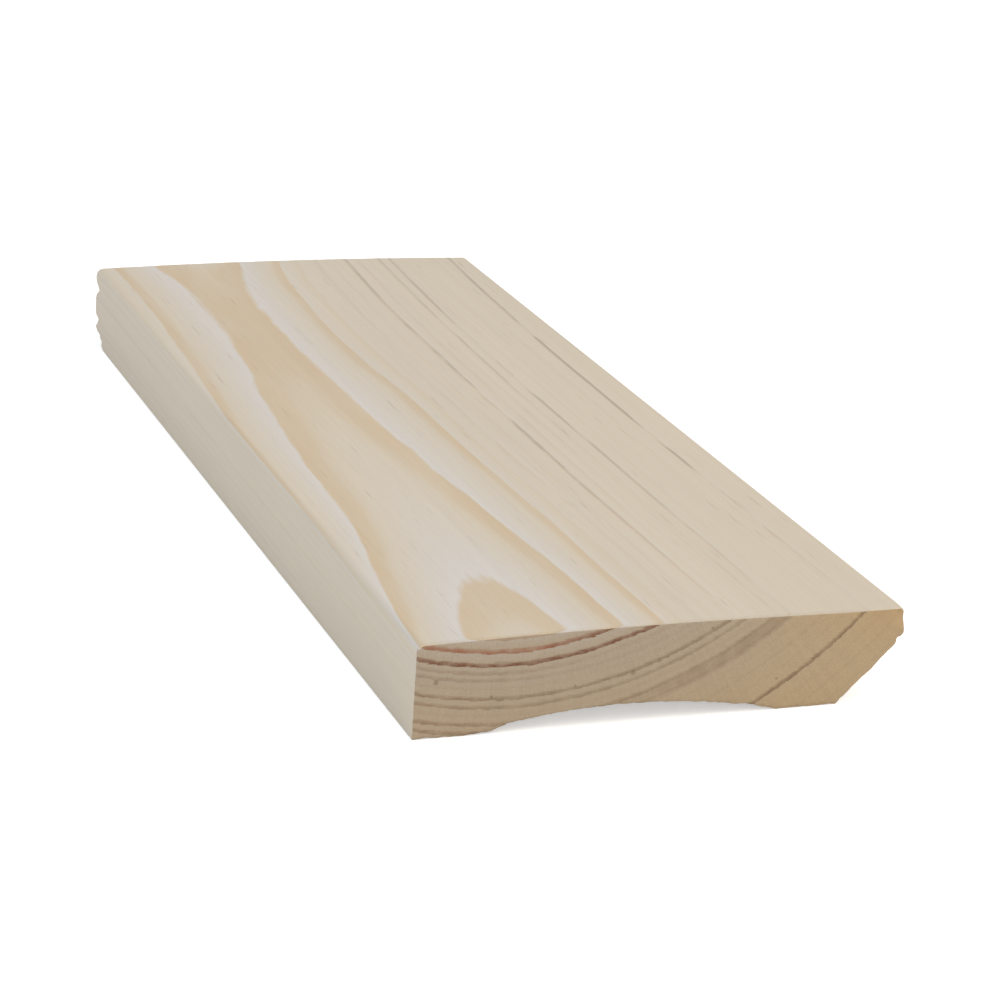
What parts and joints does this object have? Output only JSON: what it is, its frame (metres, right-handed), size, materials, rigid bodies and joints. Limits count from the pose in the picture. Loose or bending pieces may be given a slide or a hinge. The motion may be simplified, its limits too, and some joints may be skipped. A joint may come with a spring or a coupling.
{
  "type": "skirting board",
  "caption": "Short length of planed pine skirting board with a slightly crowned face, eased face edges, a relieved back and a bevel behind the floor edge.",
  "frame": {"origin": "under the middle of the board, on the plane that its two back lands rest on", "axes": "+X along the grain, towards the sawn end nearest the picture's camera; +Y across the width, towards the edge that stands on the floor; +Z through the thickness, out of the face"},
  "size_m": [0.18, 0.07, 0.014],
  "materials": {
    "pine": "planed, untreated softwood with sawn ends"
  },
  "bodies": {
    "root": {"skirting_board": "pine"}
  },
  "joints": []
}
